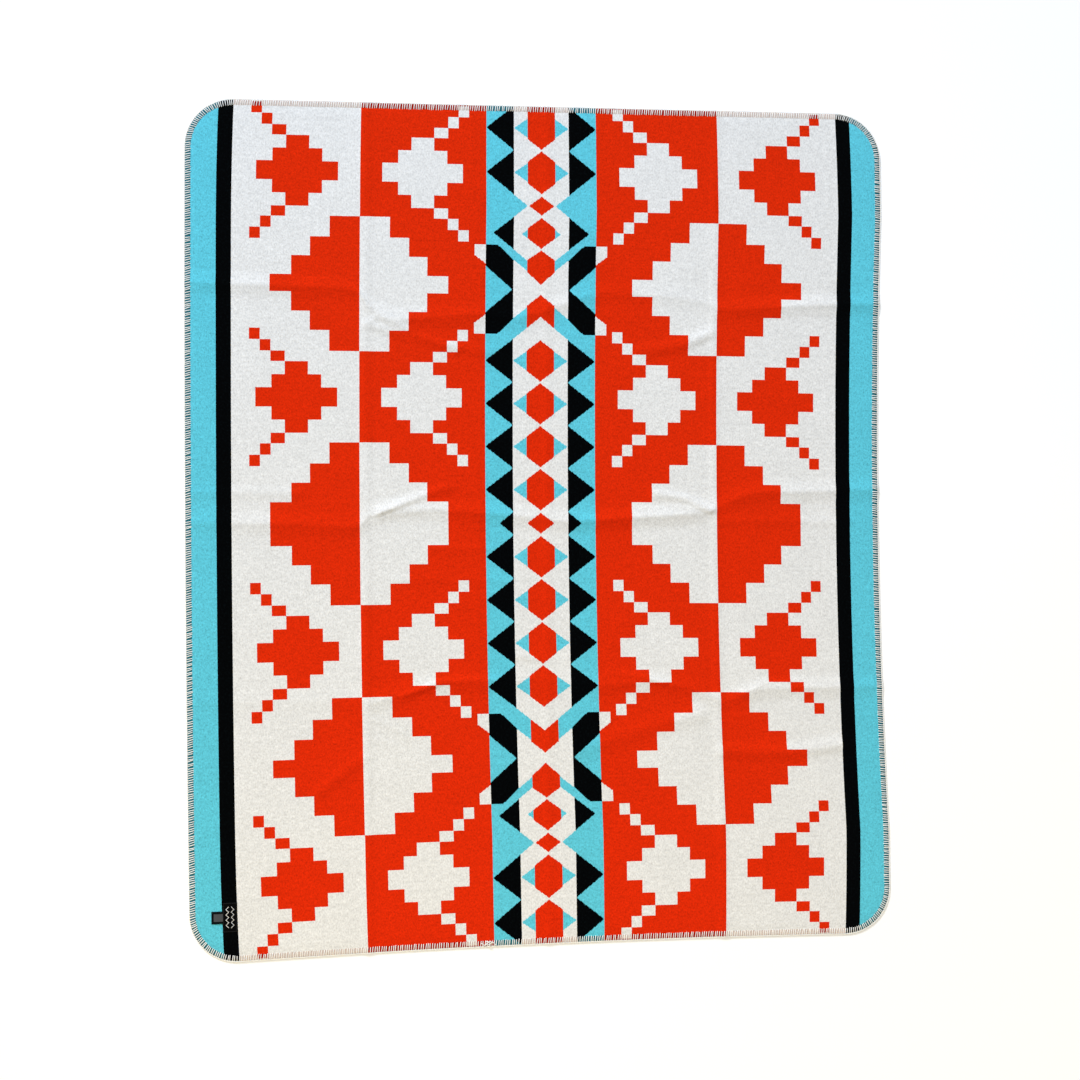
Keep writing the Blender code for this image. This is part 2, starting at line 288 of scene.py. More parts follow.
# The end of the overlock thread, knotted on the lower edge
KNOT_PLACE = (-0.143, -0.981)
KNOT_LIFT = 0.0012
KNOT_SIZE = 0.0026
KNOT_SQUASH = 0.8
KNOT_STEPS = 72
KNOT_THREAD_RADIUS = 0.0009
KNOT_THREAD_SIDES = 7

# The knot's two tails, in millimetres: where they start, how far they run out, back and down, and their bend
TAIL_START = 4
TAIL_OUT = 14
TAIL_BACK = 2
TAIL_DOWN = 0.5
TAIL_BEND = 3.0
TAIL_TURN = 4.4
TAIL_STEPS = 12

# The grains of the brushed cloth: how far each is drawn out along the blanket, its scale for each millimetre,
# its detail and roughness, and how far it swings the shade
Grain = namedtuple("Grain", "up scale detail roughness swing")
TUFTS = Grain(0.62, 0.30, 2.0, 0.6, 0.70)
CLUMPS = Grain(1.0, 0.085, 2.0, 0.5, 0.30)
CLOUDS = Grain(1.0, 0.012, 1.0, 0.5, 0.08)
HAIRS = Grain(0.35, 1.3, 3.0, 0.7, 0.30)
FLECKS = Grain(1.0, 0.21, 3.0, 0.7, 1.5)
PILE_DEPTH = 0.0013
TUFT_SHARE = 0.6

# How far the brushed yarn strays over the edge of its cell, and how far the rim's painted shade, for the shade
# between the edge stitches, strays over its own edge, with the swing in millimetres
STRAY = Grain(1.0, 0.45, 1.0, 0.5, 1.4)
RIM_SHADE_STRAY = Grain(1.0, 0.9, 1.0, 0.5, 3.0)
RIM_SHADE_PAST = 0.5
ROW_SEED = 311.0

# Grains and ribs of the threads and tapes, as scales for each metre, and how deep they are
STRAND_SCALE = 900.0
STRAND_DEPTH = 0.0003
LABEL_RIBS = 260.0
LABEL_DEPTH = 0.0002
LINE_SHARE = 0.6
TAG_RIBS = 300.0
TAG_DEPTH = 0.0001

# The floor: its size, how far under the blanket it lies, its shade with a slight speck, and its faint glow
FLOOR_SIZE = 40
FLOOR_DROP = 0.0006
FLOOR_SHADE = 0.96
FLOOR_SPECK = 0.01
FLOOR_SPECK_SCALE = 60.0
FLOOR_GLOW = 0.14

# The light: an even surround, a soft key from the top left, and two wide lamps, cool above and warm below
SURROUND_COLOUR = (0.98, 1.0, 1.03, 1.0)
SURROUND_STRENGTH = 0.35
KEY_FROM = (-0.55, 1.0, 0.5)
KEY_STRENGTH = 2.65
KEY_SPREAD = 10
Lamp = namedtuple("Lamp", "name spot power size colour")
LAMPS = [
    Lamp("cool", (-0.8, 2.6, 3.0), 32.0, 1.4, (0.68, 0.99, 1.46)),
    Lamp("warm", (-0.7, -2.6, 3.0), 33.0, 1.4, (1.33, 1.00, 0.34)),
]

# The photograph's view, from nearly straight above
CAMERA_PLACE = (-0.2675, -0.0731, 2.8155)
CAMERA_TURN = (0.781, -5.288, -0.58)
CAMERA_LENS = 40
CAMERA_SENSOR = 36


def along(table, place_along, column):
    """Read a table's column, in metres, on one smooth curve through its rows."""
    here = min(max(place_along / MM, table[0].along), table[-1].along)
    i = max(n for n in range(len(table) - 1) if table[n].along <= here)

    def slope(n):
        low, high = table[max(n - 1, 0)], table[min(n + 1, len(table) - 1)]
        return (getattr(high, column) - getattr(low, column)) / (high.along - low.along)

    a, b = table[i], table[i + 1]
    span = b.along - a.along
    t = (here - a.along) / span
    value = (2 * t**3 - 3 * t**2 + 1) * getattr(a, column)
    value += (3 * t**2 - 2 * t**3) * getattr(b, column)
    value += (t**3 - 2 * t**2 + t) * span * slope(i)
    value += (t**3 - t**2) * span * slope(i + 1)
    return value * MM


def eased(share):
    """A share held between 0 and 1, with soft ends."""
    share = min(max(share, 0.0), 1.0)
    return share * share * (3 - 2 * share)


def ridge(distance, half_width):
    """Height of a soft ridge, from 1 on its crest to 0 at its half width."""
    t = min(abs(distance) / half_width, 1.0)
    return (1 - t * t) ** 2


def creased(distance, half_width):
    """A ridge of the same height and width whose crest is drawn up to a narrow fold line."""
    swell = ridge(distance, half_width)
    return swell + CREST_SHARE * (ridge(distance, CREST_HALF_WIDTH) - swell)


def distance_to_path(x, y, path):
    """Shortest distance from a point to a path of straight runs, all in metres."""
    point = Vector((x, y))
    nearest = math.inf
    for start, end in zip(path, path[1:]):
        a, b = Vector(start) * MM, Vector(end) * MM
        foot, share = intersect_point_line(point, a, b)
        foot = a.lerp(b, min(max(share, 0.0), 1.0))
        nearest = min(nearest, (point - foot.xy).length)
    return nearest


def near(x, y, crease):
    """Whether a crease can reach a point, by the box round its path."""
    xs, ys = zip(*crease.path)
    reach = crease.half_width
    return min(xs) - reach < x / MM < max(xs) + reach and min(ys) - reach < y / MM < max(ys) + reach


def lift(x, y):
    """How far the folds and creases hold the cloth's underside off the surface."""
    rise = 0.0
    for fold in CROSS_FOLDS:
        away = y - along(fold, x, "place")
        if abs(away) < CROSS_HALF_WIDTH:
            rise += along(fold, x, "height") * creased(away, CROSS_HALF_WIDTH)
    for fold in LONG_FOLDS:
        away = x - along(fold, y, "place")
        if abs(away) < LONG_HALF_WIDTH:
            rise += along(fold, y, "height") * ridge(away, LONG_HALF_WIDTH)
    for crease in SHORT_CREASES:
        if near(x, y, crease):
            away = distance_to_path(x, y, crease.path)
            rise += crease.height * MM * creased(away, crease.half_width * MM)
    for crease in FINE_CREASES:
        if near(x, y, crease):
            away = distance_to_path(x, y, crease.path)
            rise += crease.height * MM * ridge(away, crease.half_width * MM)
    return rise


def bow(distance, reach):
    """Share of a side's bow, from 1 at its middle to 0 at its reach."""
    return max(1 - (distance / reach) ** 2, 0.0)


def drifted(x, y):
    """Move a point of the true rectangle to its place on the real, slightly uneven blanket."""
    share_x = (x + HALF_WIDTH) / (2 * HALF_WIDTH)
    share_y = (y + HALF_LENGTH) / (2 * HALF_LENGTH)
    left = LEFT_ENDS_IN * (1 - bow(y, HALF_LENGTH))
    right = RIGHT_OUT - RIGHT_WAIST * bow(y, WAIST_REACH)
    drop = LOW_LEFT_DROP + (LOW_RIGHT_DROP - LOW_LEFT_DROP) * share_x
    bottom = BOTTOM_RISE * bow(x, HALF_WIDTH) - drop
    return x + left + (right - left) * share_x, y + bottom * (1 - share_y)


def on_chart(x, y):
    """A flat point's place on the chart: the rows lean in the middle and the columns draw in at the ends."""
    past = max(abs(y) - (HALF_LENGTH - COLUMNS_IN_REACH), 0.0) / COLUMNS_IN_REACH
    return x * (1 + COLUMNS_IN * past * past), y + ROWS_LEAN * x * bow(y, HALF_LENGTH)


def arc_centre(corner):
    x, y = HALF_WIDTH - CORNER_RADIUS, HALF_LENGTH - CORNER_RADIUS
    return Vector((corner.side_x * x, corner.side_y * y))


def heading(angle):
    return Vector((math.cos(angle), math.sin(angle)))


def edge_runs():
    """The blanket's flat edge, counter-clockwise: each corner's arc and the straight run after it."""
    runs = []
    for corner, following in zip(CORNERS, CORNERS[1:] + CORNERS[:1]):
        angle = math.radians(corner.start)
        runs.append(Run(CORNER_RADIUS * math.pi / 2, arc_centre(corner), angle, None))
        angle += math.pi / 2
        start = arc_centre(corner) + heading(angle) * CORNER_RADIUS
        end = arc_centre(following) + heading(angle) * CORNER_RADIUS
        runs.append(Run((end - start).length, start, angle, end))
    return runs


def edge_point(runs, distance):
    """A point on the flat edge and its outward direction, at a distance round it."""
    for run in runs:
        if distance <= run.length:
            share = distance / run.length
            if run.end is None:
                outward = heading(run.angle + share * math.pi / 2)
                return run.start + outward * CORNER_RADIUS, outward
            return run.start.lerp(run.end, share), heading(run.angle)
        distance -= run.length
    return edge_point(runs, distance)


def box_middle():
    """Middle of the box round the stitched edge, which is the frame's origin."""
    runs = edge_runs()
    around = sum(run.length for run in runs)
    points = []
    for n in range(BOX_STEPS):
        point, outward = edge_point(runs, around * n / BOX_STEPS)
        points.append(drifted(*(point + outward * (GAP + EDGE_CORD))))
    xs, ys = zip(*points)
    return Vector(((min(xs) + max(xs)) / 2, (min(ys) + max(ys)) / 2))


MIDDLE = box_middle()


def place(x, y, height):
    """Where a point of the flat blanket lies, at a height over its underside."""
    x, y = drifted(x, y)
    return Vector((x - MIDDLE.x, y - MIDDLE.y, lift(x, y) + height))


def to_rim(x, y):
    """Distance from a point of the flat blanket in to its cut edge."""
    past_x = abs(x) - (HALF_WIDTH - CORNER_RADIUS)
    past_y = abs(y) - (HALF_LENGTH - CORNER_RADIUS)
    if past_x > 0 and past_y > 0:
        return CORNER_RADIUS - math.hypot(past_x, past_y)
    return min(HALF_WIDTH - abs(x), HALF_LENGTH - abs(y))


def pinch(rim):
    """How far the stitches press each face of the cloth in, at a distance from its edge."""
    return RIM_PINCH * (1 - eased((rim - RIM) / RIM_EASE))


def uneven(x, y, rim):
    """The slight swell of the brushed cloth between its folds."""
    swell = noise.noise(Vector((x, y, 0.0)) / UNEVEN_LENGTH)
    return UNEVEN_HEIGHT * swell * min(rim / (3 * RIM), 1.0)


def cloth_top(x, y):
    """Height of the cloth's upper face over its underside's plane, at a point of the flat blanket."""
    rim = to_rim(x, y)
    return CLOTH_THICKNESS - pinch(rim) + uneven(x, y, rim)


def grid_lines(anchors, between):
    """Grid lines through groups of places, with a number of even lines from each group to the next."""
    lines = []
    for group, following, count in zip(anchors, anchors[1:], between):
        lines += group
        start, end = group[-1], following[0]
        lines += [start + (end - start) * n / (count + 1) for n in range(1, count + 1)]
    return lines + anchors[-1]


def arc_places():
    """Distances in from an end, for even steps round a corner's arc."""
    return [CORNER_RADIUS * (1 - math.cos(math.pi / 2 * n / ARC_STEPS)) for n in range(ARC_STEPS + 1)]


def rows_at(x):
    """Heights of the grid's rows on one column: they follow the cross folds' crests."""
    groups = [[-HALF_LENGTH + gap for gap in arc_places()]]
    for fold in CROSS_FOLDS:
        crest = along(fold, x, "place")
        crest -= drifted(x, crest)[1] - crest
        groups.append([crest + offset * MM for offset in NEAR_CROSS])
    groups.append([HALF_LENGTH - gap for gap in reversed(arc_places())])
    return grid_lines(groups, ROWS_BETWEEN)


def grid_columns():
    groups = [[-HALF_WIDTH]]
    for fold in LONG_FOLDS:
        groups.append([along(fold, 0.0, "place") + offset * MM for offset in NEAR_LONG])
    groups.append([HALF_WIDTH])
    return grid_lines(groups, COLUMNS_BETWEEN)


def rounded(x, y):
    """Draw the outer panels in at the ends, so that the grid's sides follow the corners' arcs."""
    past = abs(y) - (HALF_LENGTH - CORNER_RADIUS)
    if abs(x) <= OUTER_PANEL or past <= 0:
        return x
    reach = HALF_WIDTH - CORNER_RADIUS + math.sqrt(max(CORNER_RADIUS ** 2 - past ** 2, 0.0))
    share = (abs(x) - OUTER_PANEL) / (HALF_WIDTH - OUTER_PANEL)
    return math.copysign(OUTER_PANEL + share * (reach - OUTER_PANEL), x)


def grid_faces(wide, tall):
    corners = [j * wide + i for j in range(tall - 1) for i in range(wide - 1)]
    return [(a, a + 1, a + 1 + wide, a + wide) for a in corners]


def grid_border(wide, tall):
    """A grid's places round its border, counter-clockwise."""
    border = [(i, 0) for i in range(wide - 1)] + [(wide - 1, j) for j in range(tall - 1)]
    return border + [(i, tall - 1) for i in range(wide - 1, 0, -1)] + [(0, j) for j in range(tall - 1, 0, -1)]


def mesh_object(name, points, faces, material):
    mesh = bpy.data.meshes.new(name)
    mesh.from_pydata(points, [], faces)
    mesh.update()
    mesh.shade_smooth()
    obj = bpy.data.objects.new(name, mesh)
    bpy.context.scene.collection.objects.link(obj)
    mesh.materials.append(material)
    return obj


def store(obj, name, kind, values):
    """Keep a number or a vector at each point of a mesh, for its material to read."""
    attribute = obj.data.attributes.new(name, kind, "POINT")
    field = "vector" if kind == "FLOAT_VECTOR" else "value"
    flat = [number for value in values for number in value] if kind == "FLOAT_VECTOR" else values
    attribute.data.foreach_set(field, flat)


def cloth(material):
    """The woven sheet: a fine grid for its upper face and a coarser one below, joined round the cut edge."""
    columns = grid_columns()
    rows = [rows_at(x) for x in columns]
    wide, tall = len(columns), len(rows[0])
    points, flat, chart = [], [], []
    for j in range(tall):
        for i, column in enumerate(columns):
            y = rows[i][j]
            x = rounded(column, y)
            points.append(place(x, y, cloth_top(x, y)))
            flat.append((x, y))
            across, up = on_chart(x, y)
            chart.append((across / MM, up / MM, to_rim(x, y) / MM))
    faces = grid_faces(wide, tall)
    upper_count = len(points)
    below = {}
    for j in range(0, tall, COARSE):
        for i in range(0, wide, COARSE):
            x, y = flat[j * wide + i]
            below[i, j] = len(points)
            points.append(place(x, y, pinch(to_rim(x, y))))
            chart.append(chart[j * wide + i])
    for i, j in below:
        corners = [(i, j), (i, j + COARSE), (i + COARSE, j + COARSE), (i + COARSE, j)]
        if corners[2] in below:
            faces.append([below[corner] for corner in corners])
    border = grid_border(wide, tall)
    for n in range(0, len(border), COARSE):
        run = [border[(n + k) % len(border)] for k in range(COARSE + 1)]
        faces.append([j * wide + i for i, j in reversed(run)] + [below[run[0]], below[run[-1]]])
    sheet = mesh_object("woven_cloth", points, faces, material)
    store(sheet, "chart", "FLOAT_VECTOR", chart)
    store(sheet, "back", "FLOAT", [0.0] * upper_count + [1.0] * len(below))
    return sheet


def tube(points, sideways, half_widths, half_heights, sides, start, closed=False):
    """Rings of an oval thread along a path, as points and faces whose numbers begin at start."""
    rings, faces = [], []
    count = len(points)
    for n, point in enumerate(points):
        before = points[n - 1] if closed or n > 0 else point
        after = points[(n + 1) % count] if closed or n < count - 1 else point
        forward = (after - before).normalized()
        side = (sideways[n] - forward * sideways[n].dot(forward)).normalized()
        rise = side.cross(forward)
        for k in range(sides):
            turn = 2 * math.pi * k / sides
            out, up = half_widths[n] * math.cos(turn), half_heights[n] * math.sin(turn)
            rings.append(point + side * out + rise * up)
    last = count if closed else count - 1
    for n in range(last):
        a, b = start + n * sides, start + (n + 1) % count * sides
        for k in range(sides):
            following = (k + 1) % sides
            faces.append((a + k, b + k, b + following, a + following))
    if not closed:
        faces.append(tuple(start + k for k in range(sides)))
        end = start + (count - 1) * sides
        faces.append(tuple(end + k for k in reversed(range(sides))))
    return rings, faces


def stitch_places(runs):
    """Distances round the edge of the stitches, a little unevenly spaced."""
    draw = random.Random(SEED)
    around = sum(run.length for run in runs)
    count = round(around / STITCH_PITCH)
    return [around * (n + draw.uniform(-STITCH_JITTER, STITCH_JITTER)) / count for n in range(count)]


def edge_legs(runs, places, material):
    """The overlock stitches' legs, each wrapped round the cut edge from under the cloth to its face."""
    draw = random.Random(SEED + 1)
    around = sum(run.length for run in runs)
    points, faces = [], []
    for distance in places:
        edge, outward = edge_point(runs, distance % around)
        forward = Vector((-outward.y, outward.x))
        reach = draw.uniform(*LEG_REACH)
        slant = draw.gauss(LEAN, LEAN_SPREAD) + (LEFT_LEAN - LEAN) * max(-outward.x, 0.0)
        fat = draw.uniform(*LEG_FATNESS)
        path = []
        for spot in LEG:
            flat = edge + outward * spot.out * MM * (reach if spot.out < 0 else 1.0)
            shift = -slant * spot.out if spot.up > EDGE_MIDDLE else slant * spot.out * LOWER_LEAN
            flat = flat + forward * shift * MM
            path.append(place(flat.x, flat.y, spot.up * MM))
        aside = [forward.to_3d()] * len(LEG)
        half_widths = [THREAD_HALF_WIDTH * fat * spot.width for spot in LEG]
        half_heights = [THREAD_HALF_HEIGHT * fat] * len(LEG)
        rings, quads = tube(path, aside, half_widths, half_heights, THREAD_SIDES, len(points))
        points += rings
        faces += quads
    return mesh_object("edge_legs", points, faces, material)


def edge_chain(runs, places, material):
    """The thread that runs round the cut edge from leg to leg, thicker where it loops round each leg."""
    around = sum(run.length for run in runs)
    path, aside, half_widths, half_heights = [], [], [], []
    for here, following in zip(places, places[1:] + [places[0] + around]):
        for spot in CHAIN:
            edge, outward = edge_point(runs, (here + (following - here) * spot.share) % around)
            flat = edge + outward * spot.out * MM
            height = EDGE_MIDDLE + CHAIN_SWAY * math.sin(2 * math.pi * spot.share)
            path.append(place(flat.x, flat.y, height * MM))
            aside.append(outward.to_3d())
            half_widths.append(spot.half_width * MM)
            half_heights.append(spot.half_width * CHAIN_FLATNESS * MM)
    points, faces = tube(path, aside, half_widths, half_heights, THREAD_SIDES, 0, closed=True)
    return mesh_object("edge_chain", points, faces, material)


def label_rise(x, y):
    """How far a point of the label's underside is held up by the care tag under its left side."""
    beyond_x = max(x - (-LABEL_SIZE[0] / 2 + TAG_TUCK + TAG_CLEAR), 0.0)
    beyond_y = max(abs(y) - (TAG_WIDTH / 2 + TAG_CLEAR), 0.0)
    return TAG_TOP * (1 - eased(math.hypot(beyond_x, beyond_y) / LABEL_RISE_EASE))


def on_cloth(obj, x, y):
    """Set a small piece on the cloth, with its origin over a point of the pattern."""
    obj.location = Vector((x, y, CLOTH_THICKNESS + GAP)) - MIDDLE.to_3d()


def sewn_label(material):
    """The label as a thin patch with softly turned edges, raised where the care tag goes under it."""
    width, length = LABEL_SIZE
    wide, tall = LABEL_GRID
    points = []
    for face in (1, 0):
        for j in range(tall):
            for i in range(wide):
                x, y = (i / (wide - 1) - 0.5) * width, (j / (tall - 1) - 0.5) * length
                edge = min(width / 2 - abs(x), length / 2 - abs(y)) / LABEL_STITCH_IN
                full = LABEL_EDGE + (1 - LABEL_EDGE) * min(edge, 1.0)
                points.append((x, y, label_rise(x, y) + face * LABEL_THICKNESS * full))
    count = wide * tall
    faces = grid_faces(wide, tall)
    faces += [(a + count, d + count, c + count, b + count) for a, b, c, d in faces]
    border = [j * wide + i for i, j in grid_border(wide, tall)]
    for a, b in zip(border, border[1:] + border[:1]):
        faces.append((b, a, a + count, b + count))
    label = mesh_object("label_patch", points, faces, material)
    on_cloth(label, *LABEL_CENTRE)
    return label


def label_stitches(material):
    """Short stitches round the label, a little in from its edge."""
    x, y = LABEL_SIZE[0] / 2 - LABEL_STITCH_IN, LABEL_SIZE[1] / 2 - LABEL_STITCH_IN
    ends = [Vector(corner) for corner in ((-x, -y), (x, -y), (x, y), (-x, y))]
    steps = len(LABEL_STITCH_STEPS)
    half_widths = [LABEL_THREAD_RADIUS] * steps
    half_heights = [LABEL_THREAD_RADIUS * LABEL_THREAD_FLATNESS] * steps
    points, faces = [], []
    for start, end in zip(ends, ends[1:] + ends[:1]):
        count = round((end - start).length / LABEL_STITCH)
        forward = (end - start).normalized()
        for n in range(count):
            middle = start.lerp(end, (n + 0.5) / count)
            path = []
            for step in LABEL_STITCH_STEPS:
                spot = middle + forward * step * LABEL_STITCH * LABEL_STITCH_STEP
                crown = LABEL_THREAD_RADIUS * (LABEL_STITCH_CROWN - LABEL_STITCH_FALL * abs(step))
                path.append(Vector((*spot, label_rise(*spot) + LABEL_THICKNESS + crown)))
            aside = [Vector((-forward.y, forward.x, 0.0))] * steps
            rings, quads = tube(path, aside, half_widths, half_heights, LABEL_THREAD_SIDES, len(points))
            points += rings
            faces += quads
    stitches = mesh_object("label_stitches", points, faces, material)
    on_cloth(stitches, *LABEL_CENTRE)
    return stitches


def care_tag(material):
    """The care tag: one strip folded back on itself, its upper layer a little puffed out behind the fold."""
    height = 2 * TAG_LAYER + GAP
    bend = height / 2
    far = TAG_SHOWS + TAG_TUCK
    stations = [bend + (far - bend) * n / TAG_STEPS for n in range(TAG_STEPS + 1)]
    outer = [(x, 0.0) for x in reversed(stations)]
    inner = [(x, TAG_LAYER) for x in reversed(stations)]
    for angle in range(TAG_BEND_TURN, 180, TAG_BEND_TURN):
        turn = math.radians(angle)
        for line, radius in ((outer, bend), (inner, bend - TAG_LAYER)):
            line.append((bend - radius * math.sin(turn), bend - radius * math.cos(turn)))
    for x in stations:
        puff = TAG_PUFF * math.sin(math.pi * min(x / TAG_SHOWS, 1.0)) ** 2
        outer.append((x, height + puff))
        inner.append((x, height - TAG_LAYER + puff))
    across = [TAG_WIDTH * (n / TAG_STEPS_ACROSS - 0.5) for n in range(TAG_STEPS_ACROSS + 1)]
    section = outer + inner[::-1]
    count = len(section)
    points = [(x, y, z) for y in across for x, z in section]
    faces = []
    for row in range(len(across) - 1):
        for k in range(count):
            following = (k + 1) % count
            a, b = row * count, (row + 1) * count
            faces.append((a + k, b + k, b + following, a + following))
    for row, turn in ((0, 1), (len(across) - 1, -1)):
        for k in range(len(outer) - 1):
            corners = (k, k + 1, count - 2 - k, count - 1 - k)
            faces.append([row * count + c for c in corners[::turn]])
    tag = mesh_object("folded_tag", points, faces, material)
    on_cloth(tag, LABEL_CENTRE[0] - LABEL_SIZE[0] / 2 - TAG_SHOWS, LABEL_CENTRE[1])
    return tag


def thread_knot(material):
    """The overlock thread's end: a loose knot with two short tails, lying on the lower edge's stitches."""
    middle = place(*KNOT_PLACE, CLOTH_THICKNESS + KNOT_LIFT)
    loop = []
    for n in range(KNOT_STEPS):
        t = 2 * math.pi * n / KNOT_STEPS
        x = math.sin(t) + 2 * math.sin(2 * t)
        y = KNOT_SQUASH * (math.cos(t) - 2 * math.cos(2 * t))
        z = -math.sin(3 * t) * KNOT_THREAD_RADIUS
        loop.append(middle + Vector((x * KNOT_SIZE, y * KNOT_SIZE, z)))
    threads = [(loop, True)]
    for side in (-1, 1):
        tail = []
        for n in range(TAIL_STEPS + 1):
            t = n / TAIL_STEPS
            x = side * (TAIL_START + TAIL_OUT * t)
            y = side * TAIL_BEND * math.sin(TAIL_TURN * t) - TAIL_BACK * t
            tail.append(middle + Vector((x, y, -TAIL_DOWN * t)) * MM)
        threads.append((tail, False))
    points, faces = [], []
    for path, closed in threads:
        upright = [Vector((0.0, 0.0, 1.0))] * len(path)
        radii = [KNOT_THREAD_RADIUS] * len(path)
        rings, quads = tube(path, upright, radii, radii, KNOT_THREAD_SIDES, len(points), closed)
        points += rings
        faces += quads
    return mesh_object("thread_knot", points, faces, material)


# The shader's sockets that a material may set
SOCKETS = {
    "roughness": "Roughness",
    "specular": "Specular IOR Level",
    "sheen": "Sheen Weight",
    "sheen_roughness": "Sheen Roughness",
    "glow_colour": "Emission Color",
    "glow": "Emission Strength",
}


class Graph:
    """The shader nodes of one material, made and linked by short calls."""

    def __init__(self, name):
        self.material = bpy.data.materials.new(name)
        self.material.use_nodes = True
        self.tree = self.material.node_tree
        self.shader = self.tree.nodes["Principled BSDF"]

    def add(self, kind, inputs=None, **settings):
        node = self.tree.nodes.new(kind)
        for key, value in settings.items():
            setattr(node, key, value)
        for key, value in (inputs or {}).items():
            self.feed(node.inputs[key], value)
        return node

    def feed(self, socket, value):
        if isinstance(value, bpy.types.NodeSocket):
            self.tree.links.new(value, socket)
        else:
            socket.default_value = value

    def math(self, operation, *values):
        node = self.add("ShaderNodeMath", operation=operation)
        for socket, value in zip(node.inputs, values):
            self.feed(socket, value)
        return node.outputs[0]

    def mix(self, factor, a, b):
        """A number between two others."""
        node = self.add("ShaderNodeMix", data_type="FLOAT")
        for socket, value in zip(node.inputs, (factor, None, a, b)):
            if value is not None:
                self.feed(socket, value)
        return node.outputs[0]

    def blend(self, factor, a, b, kind="MIX"):
        """A colour between two others."""
        node = self.add("ShaderNodeMix", data_type="RGBA", blend_type=kind)
        self.feed(node.inputs[0], factor)
        self.feed(node.inputs[6], a)
        self.feed(node.inputs[7], b)
        return node.outputs[2]

    def away(self, value, centre):
        """How far a number is from another."""
        return self.math("ABSOLUTE", self.math("SUBTRACT", value, centre))

    def spot(self):
        """A point's place on its own piece, in metres."""
        return self.add("ShaderNodeTexCoord").outputs["Object"]

    def parts(self, vector):
        return self.add("ShaderNodeSeparateXYZ", {"Vector": vector}).outputs

    def noise(self, vector, scale, detail=2.0, roughness=0.5):
        inputs = {"Vector": vector, "Scale": scale, "Detail": detail, "Roughness": roughness}
        return self.add("ShaderNodeTexNoise", inputs).outputs[0]

    def grain(self, vector, kind):
        """One of the cloth's grains. A number under 1 for its way up draws it out along the blanket."""
        node = self.add("ShaderNodeVectorMath", {0: vector, 1: (1.0, kind.up, 1.0)}, operation="MULTIPLY")
        return self.noise(node.outputs[0], kind.scale, kind.detail, kind.roughness)

    def ribs(self, vector, scale, stray, direction):
        """The woven ribs of a tape."""
        inputs = {"Vector": vector, "Scale": scale, "Distortion": stray}
        return self.add("ShaderNodeTexWave", inputs, bands_direction=direction).outputs[1]

    def bump(self, height, depth):
        node = self.add("ShaderNodeBump", {"Height": height, "Distance": depth})
        self.feed(self.shader.inputs["Normal"], node.outputs[0])

    def surface(self, colour, **values):
        """Link the base colour and set the other values on the shader's own sockets."""
        self.feed(self.shader.inputs["Base Color"], colour)
        for name, value in values.items():
            self.shader.inputs[SOCKETS[name]].default_value = value
        return self.material


def srgb(red, green, blue):
    """A colour in linear light from its values as seen, from 0 to 255."""
    def linear(value):
        value = value / 255
        return value / 12.92 if value <= 0.04045 else ((value + 0.055) / 1.055) ** 2.4
    return (linear(red), linear(green), linear(blue), 1.0)


# The four yarns, in the order of the chart's numbers: on each face, darkened in the gaps between the edge
# stitches as painted shade for the shadow between the stitch legs, and in the flecks where the brushed face is
# thin
CREAM, RED, TEAL, BLACK = range(4)
Yarn = namedtuple("Yarn", "face reverse gap fleck")
YARNS = [
    Yarn(srgb(236, 236, 235), srgb(214, 44, 10), srgb(212, 196, 188), srgb(206, 196, 190)),
    Yarn(srgb(230, 45, 8), srgb(228, 226, 218), srgb(158, 28, 10), srgb(80, 8, 4)),
    Yarn(srgb(99, 208, 229), srgb(12, 12, 14), srgb(40, 106, 118), srgb(16, 36, 42)),
    Yarn(srgb(2, 3, 4), srgb(96, 192, 208), srgb(2, 2, 3), srgb(18, 28, 31)),
]

# The chart is counted in woven cells across from the middle line and in rows up from the middle row, and it
# mirrors both ways. A cell and a row are in millimetres. The zones across are whole modules of cells, but for
# one cell at the border.
CELL = 2.04
ROW = 2.03
MODULE = 16
SPINE = 1 * MODULE
BAND_INNER = 2 * MODULE
BAND = 4 * MODULE
AXIS = 13 * MODULE
STRIPE = 22 * MODULE
BORDER = 23 * MODULE + 1
REPEAT = 50
FIRST_TIP = 14
LAST_TIP = FIRST_TIP + 4 * REPEAT
X_CENTRE = 272

# A wedge is the part of its zone within half + spread * across of centre + rise * across, with across
# measured from its base line
Wedge = namedtuple("Wedge", "base centre rise half spread")
SPINE_BEADS = [
    Wedge(0, 0, 0, 12, -3 / 4),
    Wedge(0, 253, -4 / 5, 13, 0),
    Wedge(0, 298, 1 / 10, 20, -4 / 5),
    Wedge(0, 338, 0, 18, -3 / 4),
    Wedge(0, 370, 0, 11, -3 / 4),
    Wedge(0, 409, 0, 25, -3 / 4),
    Wedge(0, 473, 0, 37, -3 / 4),
]
FLANK_WEDGES = [
    Wedge(SPINE, 239, -4 / 5, 12, 0),
    Wedge(SPINE, 300, 4 / 5, 6, 0),
    Wedge(SPINE, 337, 0, 5, -3 / 4),
    Wedge(SPINE, 370, 0, 0, 4 / 5),
    Wedge(SPINE, 409, 0, 11, -11 / SPINE),
    Wedge(SPINE, 461, 0, 11, -11 / SPINE),
]
BAND_TEETH = [
    Wedge(BAND_INNER, 0, 0, 13, -13 / SPINE),
    Wedge(BAND_INNER, 338, 0, 19, -4 / 5),
    Wedge(BAND_INNER, 409, 0, 26, -26 / BAND_INNER),
    Wedge(BAND_INNER, 461, 0, 26, -26 / BAND_INNER),
]
X_ARM = Wedge(BAND_INNER, X_CENTRE, 0, 35, 15 / 16)
X_REACH = Wedge(BAND_INNER, X_CENTRE, 0, 52, 0)
X_NOTCH = Wedge(BAND, X_CENTRE, 0, 27, 7 / 8)
FLAG_POINT = Wedge(BAND, X_CENTRE, 0, 30, 3 / 4)
FLAG_END = 77
REPEAT_BEAD = (REPEAT / 2 - 1, -3 / 4)
REPEAT_FLANK = (11, -11 / SPINE)
